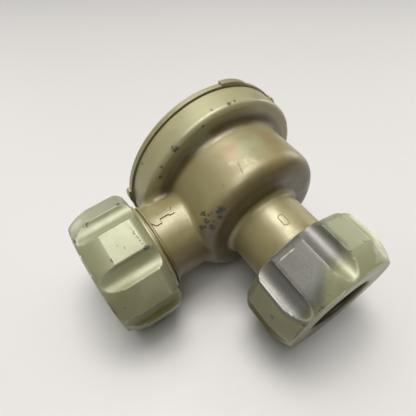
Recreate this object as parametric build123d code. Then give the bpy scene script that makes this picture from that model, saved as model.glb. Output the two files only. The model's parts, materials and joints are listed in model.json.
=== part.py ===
from build123d import *
import math
import os

# Water pressure regulator with a swivel union nut on each of its two ports.
# Lengths are in millimetres. Each port axis is a line through the middle of the body.
# Heights are measured along the inlet axis towards the inlet's mouth, or along the outlet
# axis towards the outlet's mouth. The cover closes the end opposite the inlet.

# How far a cutter runs past the face that it opens
PAST = 1.0

# Body: flange, barrel and two port tubes
FLANGE_R = 37.2
FLANGE_BACK = -21.7
FLANGE_FRONT = -11.3
FLANGE_ROUND = 2.0
NECK_R = 29.0
NECK_FILLET = 4.0
SHOULDER_R = 7.2
BARREL_END = 15.7
TUBE_R = 15.3
OUTLET_ROOT_FILLET = 2.5
TUBE_FILLET = 2.5
TUBE_BORE_R = 12.2

# Body: hollow inside
COVER_THREAD_R = 34.4
DIAPHRAGM_SEAT = -16.5
CHAMBER_R = 29.5
CHAMBER_STEP = -14.0
BARREL_BORE_R = 25.0
BARREL_BORE_START = -10.0
BARREL_BORE_END = 9.0
BARREL_BORE_BEVEL = 1.0
WAY_OUT_START = 17.0
SEAT_HOLE_R = 8.0
INLET_BORE_START = 13.0

# Union nuts, heights from the nut's back face
NUT_LENGTH = 22.0
NUT_R = 24.9
NUT_FLAT_R = 24.3
NUT_BACK_R = 22.2
NUT_BACK_ROUND = 3.4
NUT_BACK_MIDDLE = (24.1, 1.4)
NUT_DOME_START = 14.0
NUT_DOME_MIDDLE = (23.85, 18.0)
NUT_FACE_R = 21.7
NUT_FACE_BEVEL = 0.5
NUT_LOBES = 8
NUT_EDGE_ROUND = 0.35
FLUTE_R = 4.8
FLUTE_BOTTOM_R = 22.4
NUT_HOLE_R = 9.58
NUT_WALL = 6.0
NUT_RELIEF_R = 13.8
THREAD_START = 10.8
THREAD_R = 12.4
MOUTH_R = 13.0
MOUTH_CHAMFER = 0.6
INLET_NUT_BACK = 35.5
OUTLET_NUT_BACK = 42.2
INLET_NUT_TURN = 1.8
OUTLET_NUT_TURN = 8.7

# Tail pieces that the nuts swivel on, heights from the nut's back face
TUBE_GAP = 1.5
PLUG_LENGTH = 4.0
PLUG_R = 12.2
TAIL_NECK_R = 9.5
TAIL_BORE_R = 7.2
FLARE_R = 11.8
FLARE_START = 6.3
FLARE_END = 8.0
SLIP_RING_R = 17.8
SLIP_RING_THICK = 1.2
SLIP_RING_ROUND = 0.3
SLIP_RING_CLEARANCE = 0.3
BEAD_R = 16.6
BEAD_WIDTH = 1.0
BEAD_SETBACK = 0.8
BEAD_ROUND = 0.4
WASHER_R = 13.4
WASHER_HOLE_R = 8.2
WASHER_END = 10.6

# Inlet strainer
STRAINER_RIM_R = 8.1
STRAINER_DOME_R = 6.0
STRAINER_RIM_THICK = 0.5
STRAINER_RIM_LAP = 0.6
STRAINER_DOME_RISE = 1.9
STRAINER_SHEET = 0.35
STRAINER_HOLE_R = 0.5
STRAINER_HOLE_PITCH = 1.55
STRAINER_RINGS = 3
STRAINER_RING_STEP = 6

# Cover with its spring tower
COVER_RIM_R = 38.0
COVER_RIM_FACE = -22.15
COVER_BACK = -24.5
COVER_EDGE_ROUND = 0.6
COVER_SPIGOT_END = -18.2
COVER_CEILING = -21.5
TOWER_BASE_R = 21.5
TOWER_TOP_R = 19.5
TOWER_TOP = -40.2
TOWER_ROUND = 2.6
TOWER_FOOT_ROUND = 2.0
TOWER_BORE_R = 16.5
TOWER_BORE_END = -36.0
BOSS_R = 7.5
BOSS_END = -44.0
RIB_COUNT = 6
RIB_THICK = 2.2
RIB_RISE = 3.0
RIB_REACH = 34.0
RIB_LAP = 0.2
RIB_BEVEL = 2.0
RIB_TURN = 10.0
LUG_R = 39.0
LUG_DEPTH = 2.0
LUG_ROUND = 0.3
LUGS = ((20.5, 12.0), (67.0, 14.0), (172.5, 8.0), (222.0, 10.0), (316.0, 12.0))
VENT_R = 1.0
VENT_HEIGHT = -31.0
VENT_TURN = 250.0

# Seals between body and cover
GASKET_R = 35.9
GASKET_CLEARANCE = 0.1
SLIP_SEAL_THICK = 0.7
DIAPHRAGM_THICK = 1.0
RIM_CLEARANCE = 0.2

# Moving valve
STEM_R = 1.5
STEM_HOLE_R = 1.55
STEM_TOP = -22.2
TAIL_HEAD_R = 2.8
LOWER_PLATE_R = 22.0
UPPER_PLATE_R = 24.0
PLATE_THICK = 1.2
SPRING_RIM_IN_R = 14.6
SPRING_RIM_OUT_R = 15.9
SPRING_RIM_RISE = 1.8
STEM_NUT_R = 3.6
STEM_NUT_THICK = 2.6
DISC_R = 6.8
DISC_FACE = 17.0
DISC_THICK = 1.6
DISC_CLEARANCE = 0.05
HOLDER_R = 8.0
HOLDER_LIP = 17.4
HOLDER_BACK = 21.0
SEAT_BACK = 8.8
SEAT_FLANGE_R = 9.6
SEAT_FLANGE_END = 14.2
SEAT_LIP = 15.0
SEAT_LIP_R = 5.6
SEAT_LIP_BEVEL = 0.6
SEAT_BORE_R = 4.6
PRESS = 0.02

# Closing spring and its guide
GUIDE_START = 27.8
GUIDE_END = 29.6
GUIDE_HOLES = 6
GUIDE_HOLE_R = 2.2
GUIDE_HOLE_CIRCLE_R = 8.2
CLOSING_SPRING_R = 5.1
CLOSING_WIRE_R = 0.45
CLOSING_TURNS = 4
END_GAP = 0.05

# Range spring and its adjuster
RANGE_SPRING_R = 12.9
RANGE_WIRE_R = 1.1
RANGE_TURNS = 4
BUTTON_R = 15.5
BUTTON_TOP = -34.5
BUTTON_FACE = -33.2
BUTTON_PILOT_R = 10.5
BUTTON_PILOT_END = -31.5
BUTTON_BEVEL = 0.8
SCREW_R = 4.0
SCREW_HOLE_R = 4.08
SCREW_END = -53.0
SCREW_BEVEL = 0.6
SLOT_WIDTH = 1.4
SLOT_DEPTH = 2.2
LOCK_NUT_FLATS = 13.0
LOCK_NUT_END = -48.6
LOCK_NUT_BEVEL = 1.0

INLET = Plane(origin=(0, 0, 0), x_dir=(1, 0, 0), z_dir=(0, -1, 0))
OUTLET = Plane(origin=(0, 0, 0), x_dir=(0, -1, 0), z_dir=(-1, 0, 0))


def spin(edges):
    """Turn a closed chain of edges in the XZ plane about Z."""
    return revolve(make_face(edges), axis=Axis.Z)


def turned(*corners):
    """Turn a polygon of (radius, height) corners about Z."""
    points = [(radius, 0, height) for radius, height in corners]
    return spin(Polyline(*points, close=True))


def ring(outer_r, inner_r, low, high):
    return turned((inner_r, low), (outer_r, low), (outer_r, high), (inner_r, high))


def rod(radius, low, high):
    return Pos(0, 0, low) * extrude(Circle(radius), high - low)


def hexagon(flats, low, high):
    return Pos(0, 0, low) * extrude(RegularPolygon(flats / 2, 6, major_radius=False), high - low)


def around(count, radius, turn=0.0):
    """Places evenly spaced about Z, each with its X axis pointing outwards."""
    step = 360 / count
    return [Rot(0, 0, turn + step * i) * Pos(radius, 0, 0) for i in range(count)]


def coil(mean_r, wire_r, low, high, turns):
    """Round-wire compression spring about Z between two heights."""
    rise = high - low - 2 * wire_r
    path = Helix(pitch=rise / turns, height=rise, radius=mean_r)
    wire = Plane(origin=path @ 0, z_dir=path % 0) * Circle(wire_r)
    return Pos(0, 0, low + wire_r) * sweep(wire, path=path)


def arc(start, centre, end):
    """Quarter round between two (radius, height) points about a centre."""
    bisector = Vector(start[0] + end[0] - 2 * centre[0], 0, start[1] + end[1] - 2 * centre[1])
    reach = math.dist(start, centre)
    middle = Vector(centre[0], 0, centre[1]) + bisector.normalized() * reach
    return ThreePointArc((start[0], 0, start[1]), middle, (end[0], 0, end[1]))


def body_outside():
    flange_side = FLANGE_FRONT - FLANGE_ROUND
    flange_face = FLANGE_R - FLANGE_ROUND
    neck_face = NECK_R + NECK_FILLET
    neck_side = FLANGE_FRONT + NECK_FILLET
    shoulder_side = BARREL_END - SHOULDER_R
    shoulder_face = NECK_R - SHOULDER_R
    root_face = TUBE_R + TUBE_FILLET
    root_side = BARREL_END + TUBE_FILLET
    tube_end = INLET_NUT_BACK - TUBE_GAP
    outline = [
        Line((0, 0, FLANGE_BACK), (FLANGE_R, 0, FLANGE_BACK)),
        Line((FLANGE_R, 0, FLANGE_BACK), (FLANGE_R, 0, flange_side)),
        arc((FLANGE_R, flange_side), (flange_face, flange_side), (flange_face, FLANGE_FRONT)),
        Line((flange_face, 0, FLANGE_FRONT), (neck_face, 0, FLANGE_FRONT)),
        arc((neck_face, FLANGE_FRONT), (neck_face, neck_side), (NECK_R, neck_side)),
        Line((NECK_R, 0, neck_side), (NECK_R, 0, shoulder_side)),
        arc((NECK_R, shoulder_side), (shoulder_face, shoulder_side), (shoulder_face, BARREL_END)),
        Line((shoulder_face, 0, BARREL_END), (root_face, 0, BARREL_END)),
        arc((root_face, BARREL_END), (root_face, root_side), (TUBE_R, root_side)),
        Line((TUBE_R, 0, root_side), (TUBE_R, 0, tube_end)),
        Line((TUBE_R, 0, tube_end), (0, 0, tube_end)),
        Line((0, 0, tube_end), (0, 0, FLANGE_BACK)),
    ]
    return INLET * spin(outline)


def outlet_bead():
    high = OUTLET_NUT_BACK - TUBE_GAP - BEAD_SETBACK
    bead = rod(BEAD_R, high - BEAD_WIDTH, high)
    return OUTLET * fillet(bead.edges(), BEAD_ROUND)


def body_hollow():
    past_cover = FLANGE_BACK - PAST
    bevel_start = BARREL_BORE_END - BARREL_BORE_BEVEL
    past_tube = INLET_NUT_BACK
    chamber = turned(
        (0, past_cover),
        (COVER_THREAD_R, past_cover),
        (COVER_THREAD_R, DIAPHRAGM_SEAT),
        (CHAMBER_R, DIAPHRAGM_SEAT),
        (CHAMBER_R, CHAMBER_STEP),
        (BARREL_BORE_R, BARREL_BORE_START),
        (BARREL_BORE_R, bevel_start),
        (BARREL_BORE_R - BARREL_BORE_BEVEL, BARREL_BORE_END),
        (SEAT_HOLE_R, BARREL_BORE_END),
        (SEAT_HOLE_R, INLET_BORE_START),
        (TUBE_BORE_R, INLET_BORE_START),
        (TUBE_BORE_R, past_tube),
        (0, past_tube),
    )
    way_out = rod(TUBE_BORE_R, WAY_OUT_START, OUTLET_NUT_BACK)
    return INLET * chamber + OUTLET * way_out


def make_body():
    barrel = body_outside()
    tube = OUTLET * rod(TUBE_R, 0, OUTLET_NUT_BACK - TUBE_GAP)
    casting = barrel + tube
    seams = casting.edges().filter_by(GeomType.BSPLINE)
    casting = fillet(seams, OUTLET_ROOT_FILLET)
    return casting + outlet_bead() - body_hollow()


def nut_side(inset):
    """Outline of a union nut's outside from back to front, set in from its widest line."""
    back_r = NUT_BACK_R - inset
    wide_r = NUT_R - inset
    front_r = NUT_FACE_R - inset
    bevel_r = front_r + NUT_FACE_BEVEL
    bevel_start = NUT_LENGTH - NUT_FACE_BEVEL
    back_middle = (NUT_BACK_MIDDLE[0] - inset, 0, NUT_BACK_MIDDLE[1])
    dome_middle = (NUT_DOME_MIDDLE[0] - inset, 0, NUT_DOME_MIDDLE[1])
    return [
        ThreePointArc((back_r, 0, 0), back_middle, (wide_r, 0, NUT_BACK_ROUND)),
        Line((wide_r, 0, NUT_BACK_ROUND), (wide_r, 0, NUT_DOME_START)),
        ThreePointArc((wide_r, 0, NUT_DOME_START), dome_middle, (bevel_r, 0, bevel_start)),
        Line((bevel_r, 0, bevel_start), (front_r, 0, NUT_LENGTH)),
    ]


def nut_blank():
    """Turned outside of a union nut, before its flats and flutes."""
    ends = [
        Line((0, 0, 0), (NUT_BACK_R, 0, 0)),
        Line((NUT_FACE_R, 0, NUT_LENGTH), (0, 0, NUT_LENGTH)),
        Line((0, 0, NUT_LENGTH), (0, 0, 0)),
    ]
    return spin(nut_side(0) + ends)


def nut_flats(turn):
    """Faceted block with one side face for each lobe of a union nut."""
    near_side = nut_side(NUT_R - NUT_FLAT_R)
    far_side = [mirror(edge, about=Plane.YZ) for edge in near_side]
    back_end = Line(far_side[0] @ 0, near_side[0] @ 0)
    front_end = Line(near_side[-1] @ 1, far_side[-1] @ 1)
    slab = extrude(make_face(near_side + far_side + [back_end, front_end]), NUT_R + PAST, both=True)
    facet = 360 / NUT_LOBES
    block = Rot(0, 0, turn + facet / 2) * slab
    for i in range(1, NUT_LOBES // 2):
        block &= Rot(0, 0, turn + facet * (i + 0.5)) * slab
    return block


def nut_bore():
    thread_end = NUT_LENGTH - MOUTH_CHAMFER
    return turned(
        (0, -PAST),
        (NUT_HOLE_R, -PAST),
        (NUT_HOLE_R, NUT_WALL),
        (NUT_RELIEF_R, NUT_WALL),
        (NUT_RELIEF_R, THREAD_START),
        (THREAD_R, THREAD_START),
        (THREAD_R, thread_end),
        (MOUTH_R, NUT_LENGTH),
        (MOUTH_R, NUT_LENGTH + PAST),
        (0, NUT_LENGTH + PAST),
    )


def on_nut_outside(edge):
    """Whether an edge lies round a lobe's face, between the nut's two ends."""
    centre = edge.center()
    on_side = NUT_FACE_BEVEL < centre.Z < NUT_LENGTH - NUT_FACE_BEVEL
    return on_side and math.hypot(centre.X, centre.Y) > NUT_FACE_R


def make_nut(port, back, turn):
    """Union nut with flat lobes between flutes that run out through its rounded back edge."""
    cutter = rod(FLUTE_R, -PAST, NUT_LENGTH + PAST)
    nut = nut_blank() & nut_flats(turn)
    for place in around(NUT_LOBES, FLUTE_BOTTOM_R + FLUTE_R, turn):
        nut -= place * cutter
    nut = fillet(nut.edges().filter_by(on_nut_outside), NUT_EDGE_ROUND)
    nut -= nut_bore()
    return port * Pos(0, 0, back) * nut


def make_tail(port, back):
    """Tail piece pressed into a tube, with the flare that holds the nut on."""
    tail = turned(
        (TAIL_BORE_R, -TUBE_GAP - PLUG_LENGTH),
        (PLUG_R + PRESS, -TUBE_GAP - PLUG_LENGTH),
        (PLUG_R + PRESS, -TUBE_GAP),
        (TAIL_NECK_R, -TUBE_GAP),
        (TAIL_NECK_R, FLARE_START),
        (FLARE_R, FLARE_START),
        (FLARE_R, FLARE_END),
        (TAIL_BORE_R, FLARE_END),
    )
    return port * Pos(0, 0, back) * tail


def make_slip_ring(port, back):
    high = -TUBE_GAP + SLIP_RING_THICK
    disc = rod(SLIP_RING_R, -TUBE_GAP, high)
    disc = fillet(disc.edges(), SLIP_RING_ROUND)
    hole = rod(TAIL_NECK_R + SLIP_RING_CLEARANCE, -TUBE_GAP - PAST, high + PAST)
    return port * Pos(0, 0, back) * (disc - hole)


def make_hose_washer(port, back):
    return port * Pos(0, 0, back) * ring(WASHER_R, WASHER_HOLE_R, FLARE_END, WASHER_END)


def make_strainer():
    """Perforated dome with a flat rim, resting on the inlet tail piece."""
    rim_top = FLARE_END + STRAINER_RIM_THICK
    rim = ring(STRAINER_RIM_R, STRAINER_DOME_R - STRAINER_RIM_LAP, FLARE_END, rim_top)
    sphere_r = (STRAINER_DOME_R ** 2 + STRAINER_DOME_RISE ** 2) / (2 * STRAINER_DOME_RISE)
    centre = rim_top + STRAINER_DOME_RISE - sphere_r
    shell = Pos(0, 0, centre) * (Sphere(sphere_r) - Sphere(sphere_r - STRAINER_SHEET))
    dome = shell & rod(STRAINER_DOME_R, FLARE_END, WASHER_END)
    hole = rod(STRAINER_HOLE_R, FLARE_END, WASHER_END)
    dome -= hole
    for row in range(1, STRAINER_RINGS + 1):
        for place in around(STRAINER_RING_STEP * row, STRAINER_HOLE_PITCH * row):
            dome -= place * hole
    return INLET * Pos(0, 0, INLET_NUT_BACK) * (rim + dome)


def cover_shell():
    tower_side = TOWER_TOP + TOWER_ROUND
    tower_face = TOWER_TOP_R - TOWER_ROUND
    rim_edge = COVER_RIM_R - COVER_EDGE_ROUND
    rim_side = COVER_BACK + COVER_EDGE_ROUND
    foot_r = TOWER_BASE_R + TOWER_FOOT_ROUND
    foot_side = COVER_BACK - TOWER_FOOT_ROUND
    outline = [
        Line((SCREW_HOLE_R, 0, BOSS_END), (BOSS_R, 0, BOSS_END)),
        Line((BOSS_R, 0, BOSS_END), (BOSS_R, 0, TOWER_TOP)),
        Line((BOSS_R, 0, TOWER_TOP), (tower_face, 0, TOWER_TOP)),
        arc((tower_face, TOWER_TOP), (tower_face, tower_side), (TOWER_TOP_R, tower_side)),
        Line((TOWER_TOP_R, 0, tower_side), (TOWER_BASE_R, 0, foot_side)),
        arc((TOWER_BASE_R, foot_side), (foot_r, foot_side), (foot_r, COVER_BACK)),
        Line((foot_r, 0, COVER_BACK), (rim_edge, 0, COVER_BACK)),
        arc((rim_edge, COVER_BACK), (rim_edge, rim_side), (COVER_RIM_R, rim_side)),
        Line((COVER_RIM_R, 0, rim_side), (COVER_RIM_R, 0, COVER_RIM_FACE)),
        Line((COVER_RIM_R, 0, COVER_RIM_FACE), (COVER_THREAD_R, 0, COVER_RIM_FACE)),
        Line((COVER_THREAD_R, 0, COVER_RIM_FACE), (COVER_THREAD_R, 0, COVER_SPIGOT_END)),
        Line((COVER_THREAD_R, 0, COVER_SPIGOT_END), (CHAMBER_R, 0, COVER_SPIGOT_END)),
        Line((CHAMBER_R, 0, COVER_SPIGOT_END), (CHAMBER_R, 0, COVER_CEILING)),
        Line((CHAMBER_R, 0, COVER_CEILING), (TOWER_BORE_R, 0, COVER_CEILING)),
        Line((TOWER_BORE_R, 0, COVER_CEILING), (TOWER_BORE_R, 0, TOWER_BORE_END)),
        Line((TOWER_BORE_R, 0, TOWER_BORE_END), (SCREW_HOLE_R, 0, TOWER_BORE_END)),
        Line((SCREW_HOLE_R, 0, TOWER_BORE_END), (SCREW_HOLE_R, 0, BOSS_END)),
    ]
    return spin(outline)


def polar(radius, angle):
    return radius * math.cos(math.radians(angle)), radius * math.sin(math.radians(angle))


def cover_lug(angle, width):
    """Wrench lug on the cover's rim: a step at its upper end that runs out into the rim."""
    half = math.degrees(width / 2 / LUG_R)
    uphill = math.copysign(half, math.cos(math.radians(angle)))
    step = angle + uphill
    fade = angle - uphill
    root_r = COVER_RIM_R - LUG_DEPTH
    outline = [
        Line(polar(root_r, step), polar(LUG_R, step)),
        ThreePointArc(polar(LUG_R, step), polar(LUG_R, angle), polar(COVER_RIM_R, fade)),
        Line(polar(COVER_RIM_R, fade), polar(root_r, fade)),
        Line(polar(root_r, fade), polar(root_r, step)),
    ]
    lug = extrude(make_face(outline), COVER_RIM_FACE - COVER_BACK)
    tip = lug.edges().filter_by(Axis.Z).sort_by_distance((*polar(LUG_R, step), 0))[0]
    return Pos(0, 0, COVER_BACK) * fillet(tip, LUG_ROUND)


def make_cover():
    cover = cover_shell()
    rib_length = RIB_REACH - TOWER_TOP_R
    rib = Box(rib_length, RIB_THICK, RIB_RISE + 2 * RIB_LAP)
    rib = Pos(0, 0, COVER_BACK - RIB_RISE / 2 + RIB_LAP) * rib
    top_end = rib.edges().filter_by(Axis.Y).group_by(Axis.X)[-1].sort_by(Axis.Z)[0]
    rib = chamfer(top_end, RIB_BEVEL)
    for place in around(RIB_COUNT, TOWER_TOP_R + rib_length / 2, RIB_TURN):
        cover += place * rib
    for angle, width in LUGS:
        cover += cover_lug(angle, width)
    vent = rod(VENT_R, TOWER_BORE_R - PAST, TOWER_BASE_R + PAST)
    vent = Rot(0, 0, VENT_TURN) * Pos(0, 0, VENT_HEIGHT) * Rot(0, 90, 0) * vent
    return INLET * (cover - vent)


def make_gasket():
    inner_r = COVER_THREAD_R + GASKET_CLEARANCE
    return INLET * ring(GASKET_R, inner_r, COVER_RIM_FACE, FLANGE_BACK)


def make_slip_seal():
    high = COVER_SPIGOT_END + SLIP_SEAL_THICK
    outer_r = COVER_THREAD_R - RIM_CLEARANCE
    return INLET * ring(outer_r, CHAMBER_R + RIM_CLEARANCE, COVER_SPIGOT_END, high)


def make_diaphragm():
    low = DIAPHRAGM_SEAT - DIAPHRAGM_THICK
    return INLET * ring(COVER_THREAD_R - RIM_CLEARANCE, STEM_HOLE_R, low, DIAPHRAGM_SEAT)


def make_lower_plate():
    return INLET * ring(LOWER_PLATE_R, STEM_HOLE_R, DIAPHRAGM_SEAT, DIAPHRAGM_SEAT + PLATE_THICK)


def upper_plate_top():
    return DIAPHRAGM_SEAT - DIAPHRAGM_THICK - PLATE_THICK


def make_upper_plate():
    top = upper_plate_top()
    plate = ring(UPPER_PLATE_R, STEM_HOLE_R, top, top + PLATE_THICK)
    spring_rim = ring(SPRING_RIM_OUT_R, SPRING_RIM_IN_R, top - SPRING_RIM_RISE, top)
    return INLET * (plate + spring_rim)


def make_stem():
    shank = rod(STEM_R, STEM_TOP, HOLDER_BACK)
    head = rod(TAIL_HEAD_R, HOLDER_BACK, GUIDE_START - END_GAP)
    return INLET * (shank + head)


def make_stem_nut():
    top = upper_plate_top()
    nut = hexagon(2 * STEM_NUT_R, top - STEM_NUT_THICK, top)
    return INLET * (nut - rod(STEM_HOLE_R, top - STEM_NUT_THICK - PAST, top + PAST))


def make_valve_disc():
    return INLET * ring(DISC_R, STEM_HOLE_R, DISC_FACE, DISC_FACE + DISC_THICK)


def make_disc_holder():
    disc_back = DISC_FACE + DISC_THICK
    pocket_r = DISC_R + DISC_CLEARANCE
    return INLET * turned(
        (STEM_HOLE_R, disc_back),
        (pocket_r, disc_back),
        (pocket_r, HOLDER_LIP),
        (HOLDER_R, HOLDER_LIP),
        (HOLDER_R, HOLDER_BACK),
        (STEM_HOLE_R, HOLDER_BACK),
    )


def make_seat():
    return INLET * turned(
        (SEAT_BORE_R, SEAT_BACK),
        (SEAT_HOLE_R + PRESS, SEAT_BACK),
        (SEAT_HOLE_R + PRESS, INLET_BORE_START),
        (SEAT_FLANGE_R, INLET_BORE_START),
        (SEAT_FLANGE_R, SEAT_FLANGE_END),
        (SEAT_LIP_R + SEAT_LIP_BEVEL, SEAT_FLANGE_END),
        (SEAT_LIP_R, SEAT_LIP),
        (SEAT_BORE_R, SEAT_LIP),
    )


def make_closing_spring():
    low = HOLDER_BACK + END_GAP
    high = GUIDE_START - END_GAP
    return INLET * coil(CLOSING_SPRING_R, CLOSING_WIRE_R, low, high, CLOSING_TURNS)


def make_guide():
    guide = rod(TUBE_BORE_R + PRESS, GUIDE_START, GUIDE_END)
    for place in around(GUIDE_HOLES, GUIDE_HOLE_CIRCLE_R):
        guide -= place * rod(GUIDE_HOLE_R, GUIDE_START - PAST, GUIDE_END + PAST)
    return INLET * guide


def make_range_spring():
    low = BUTTON_FACE + END_GAP
    high = upper_plate_top() - END_GAP
    return INLET * coil(RANGE_SPRING_R, RANGE_WIRE_R, low, high, RANGE_TURNS)


def make_spring_button():
    plate = rod(BUTTON_R, BUTTON_TOP, BUTTON_FACE)
    pilot = rod(BUTTON_PILOT_R, BUTTON_FACE, BUTTON_PILOT_END)
    return INLET * (plate + chamfer(pilot.edges().sort_by(Axis.Z)[-1], BUTTON_BEVEL))


def make_adjusting_screw():
    shank = rod(SCREW_R, SCREW_END, BUTTON_TOP - END_GAP)
    shank = chamfer(shank.edges().sort_by(Axis.Z)[0], SCREW_BEVEL)
    slot = Pos(0, 0, SCREW_END) * Box(2 * (SCREW_R + PAST), SLOT_WIDTH, 2 * SLOT_DEPTH)
    return INLET * (shank - slot)


def make_lock_nut():
    high = BOSS_END - END_GAP
    nut = hexagon(LOCK_NUT_FLATS, LOCK_NUT_END, high)
    corner_r = LOCK_NUT_FLATS / math.sqrt(3)
    bevel = turned(
        (0, LOCK_NUT_END),
        (corner_r - LOCK_NUT_BEVEL, LOCK_NUT_END),
        (corner_r, LOCK_NUT_END + LOCK_NUT_BEVEL / 2),
        (corner_r, high),
        (0, high),
    )
    hole = rod(SCREW_HOLE_R, LOCK_NUT_END - PAST, high + PAST)
    return INLET * ((nut & bevel) - hole)


def table_plane():
    """Level plane of the surface that the regulator lies on, seen from its own frame.

    It touches three circles: the flange's edge and the widest edge of each nut.
    """
    flange_edge = -(FLANGE_FRONT - FLANGE_ROUND)
    inlet_edge = INLET_NUT_BACK + NUT_DOME_START
    outlet_edge = OUTLET_NUT_BACK + NUT_DOME_START
    pitch = math.atan2(FLANGE_R - NUT_R, flange_edge + inlet_edge)
    drop = FLANGE_R * math.cos(pitch) - flange_edge * math.sin(pitch)
    roll = math.asin(drop / math.hypot(NUT_R, outlet_edge)) - math.atan2(NUT_R, outlet_edge)
    up_y = math.sin(pitch)
    up_x = math.sin(roll)
    up = Vector(up_x, up_y, math.sqrt(1 - up_x ** 2 - up_y ** 2))
    return Plane(origin=(0, 0, 0), x_dir=Vector(0, 1, 0).cross(up), z_dir=up)


def build():
    """Every piece by name, in the regulator's own frame."""
    return {
        "body": make_body(),
        "cover": make_cover(),
        "cover_gasket": make_gasket(),
        "slip_seal": make_slip_seal(),
        "diaphragm": make_diaphragm(),
        "lower_plate": make_lower_plate(),
        "upper_plate": make_upper_plate(),
        "stem": make_stem(),
        "stem_nut": make_stem_nut(),
        "valve_disc": make_valve_disc(),
        "disc_holder": make_disc_holder(),
        "valve_seat": make_seat(),
        "closing_spring": make_closing_spring(),
        "spring_guide": make_guide(),
        "range_spring": make_range_spring(),
        "spring_button": make_spring_button(),
        "adjusting_screw": make_adjusting_screw(),
        "lock_nut": make_lock_nut(),
        "inlet_tail": make_tail(INLET, INLET_NUT_BACK),
        "inlet_slip_ring": make_slip_ring(INLET, INLET_NUT_BACK),
        "inlet_nut": make_nut(INLET, INLET_NUT_BACK, INLET_NUT_TURN),
        "inlet_washer": make_hose_washer(INLET, INLET_NUT_BACK),
        "inlet_strainer": make_strainer(),
        "outlet_tail": make_tail(OUTLET, OUTLET_NUT_BACK),
        "outlet_slip_ring": make_slip_ring(OUTLET, OUTLET_NUT_BACK),
        "outlet_nut": make_nut(OUTLET, OUTLET_NUT_BACK, OUTLET_NUT_TURN),
        "outlet_washer": make_hose_washer(OUTLET, OUTLET_NUT_BACK),
    }


def place_on_table(pieces):
    """Lay the pieces down, with the origin under the middle of the whole regulator."""
    table = table_plane()
    laid = {name: table.to_local_coords(piece) for name, piece in pieces.items()}
    box = BoundBox(next(iter(laid.values())).bounding_box().wrapped)
    for piece in laid.values():
        box = box.add(piece.bounding_box())
    middle = box.center()
    shift = Pos(-middle.X, -middle.Y, -box.min.Z)
    return {name: shift * piece for name, piece in laid.items()}


os.makedirs("parts", exist_ok=True)
for name, piece in place_on_table(build()).items():
    export_step(piece, f"parts/{name}.step")
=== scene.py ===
import json
import math

import bmesh
import bpy
import numpy as np
from mathutils import Matrix, Vector


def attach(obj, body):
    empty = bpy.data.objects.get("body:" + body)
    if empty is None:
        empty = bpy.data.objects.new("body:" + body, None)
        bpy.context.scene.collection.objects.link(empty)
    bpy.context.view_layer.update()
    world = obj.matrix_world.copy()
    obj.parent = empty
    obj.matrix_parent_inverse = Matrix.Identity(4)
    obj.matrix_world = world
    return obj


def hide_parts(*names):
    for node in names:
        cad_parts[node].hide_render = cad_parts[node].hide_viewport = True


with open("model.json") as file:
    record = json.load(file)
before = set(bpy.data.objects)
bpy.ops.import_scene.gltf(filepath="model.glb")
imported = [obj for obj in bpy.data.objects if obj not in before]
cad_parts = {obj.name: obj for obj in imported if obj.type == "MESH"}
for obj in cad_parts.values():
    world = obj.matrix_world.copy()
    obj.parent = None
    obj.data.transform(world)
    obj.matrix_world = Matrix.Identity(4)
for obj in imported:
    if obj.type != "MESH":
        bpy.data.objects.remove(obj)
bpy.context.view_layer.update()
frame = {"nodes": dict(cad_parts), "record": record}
RECORD = frame["record"]
NODES = frame["nodes"]
MM = 0.001

# Union nut, heights in millimetres from its back face
NUT_LENGTH = 22.0
NUT_R = 24.9
NUT_FLAT_R = 24.3
NUT_BACK_R = 22.2
NUT_BACK_ROUND = 3.4
NUT_BACK_MIDDLE = (24.1, 1.4)
NUT_DOME_START = 14.0
NUT_DOME_MIDDLE = (23.85, 18.0)
NUT_FACE_R = 21.7
NUT_FACE_BEVEL = 0.5
NUT_LOBES = 8
NUT_COLUMNS = 384
NUT_SMOOTH_ANGLE = 24.0
LOBE_EDGE = 0.15
FLUTE_R = 4.8
FLUTE_BOTTOM_R = 22.4
FLUTE_LIP = 0.3
NUT_HOLE_R = 9.58
NUT_WALL = 6.0
NUT_RELIEF_R = 13.8
THREAD_START = 10.8
THREAD_END = 21.4
THREAD_R = 12.4
THREAD_PITCH = 2.209
THREAD_DEPTH = 1.0
THREAD_FLANK = 1.3
THREAD_CREST = 0.15
THREAD_RUN_OUT = 0.9
THREAD_RINGS = 108
MOUTH_R = 13.0
INLET_NUT_BACK = 35.5
OUTLET_NUT_BACK = 42.2
INLET_NUT_TURN = 1.8
OUTLET_NUT_TURN = 8.7

# Wear and painted highlight on a nut's back: their strength along the fold where the round ends, and
# both edges' reach
FOLD_WEAR_AND_HIGHLIGHT = 0.4
FOLD_REACH = 0.3
BACK_EDGE_REACH = 0.35

# Bare metal on the inlet nut, in degrees round its port and heights from its back face
BARE_START = 73
BARE_START_FADE = 16
BARE_STOP = 152
BARE_STOP_FADE = 6
BARE_TOP = 19.0
BARE_TOP_FADE = 9.0
BARE_SLANT = 6.0
BARE_SLANT_START = 104
BARE_SLANT_SPAN = 20

# Adjusting screw, heights along the inlet port from the crossing of the ports; the weld is in metres
SCREW_R = 3.98
SCREW_PITCH = 1.25
SCREW_COLUMNS = 72
SCREW_SMOOTH_ANGLE = 30.0
SCREW_RINGS_A_TURN = 10
SCREW_THREAD_DEPTH = 0.6
SCREW_FLANK = 1.25
SCREW_CREST = 0.1
SCREW_FOOT = -34.6
SCREW_END = -52.98
SCREW_BEVEL = 0.6
SCREW_SLOT_WIDTH = 1.4
SCREW_SLOT_DEPTH = 2.2
WELD_REACH = 1e-7

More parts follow.
